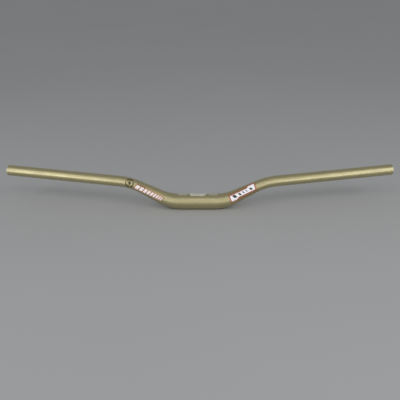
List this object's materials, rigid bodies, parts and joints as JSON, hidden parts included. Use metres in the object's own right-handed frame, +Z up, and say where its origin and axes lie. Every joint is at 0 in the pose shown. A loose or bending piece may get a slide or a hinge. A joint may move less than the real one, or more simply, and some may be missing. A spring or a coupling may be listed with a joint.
{
  "type": "off-road riser handlebar",
  "caption": "Wide butted aluminium riser handlebar, bent from one tapered tube, with a thick clamp zone and open grip ends.",
  "frame": {"origin": "centre of the clamp zone, on the tube's axis", "axes": "+X along the clamp zone towards the rider's left grip, +Y back to the rider, +Z up, with the bar rolled back 17 degrees in its clamp as the picture shows it"},
  "size_m": [0.8032, 0.0756, 0.0767],
  "materials": {
    "gold_anodised": "shot-peened, matt champagne gold anodising",
    "panel_film": "printed film, white with a brown-red edge",
    "strip_film": "printed film, pale slanted bars with a dark red edge",
    "badge_film": "printed film, dark brown lines"
  },
  "bodies": {
    "root": {"bar_tube": "gold_anodised", "panel_decal": "panel_film", "strip_decal": "strip_film", "badge_decal": "badge_film"}
  },
  "joints": []
}
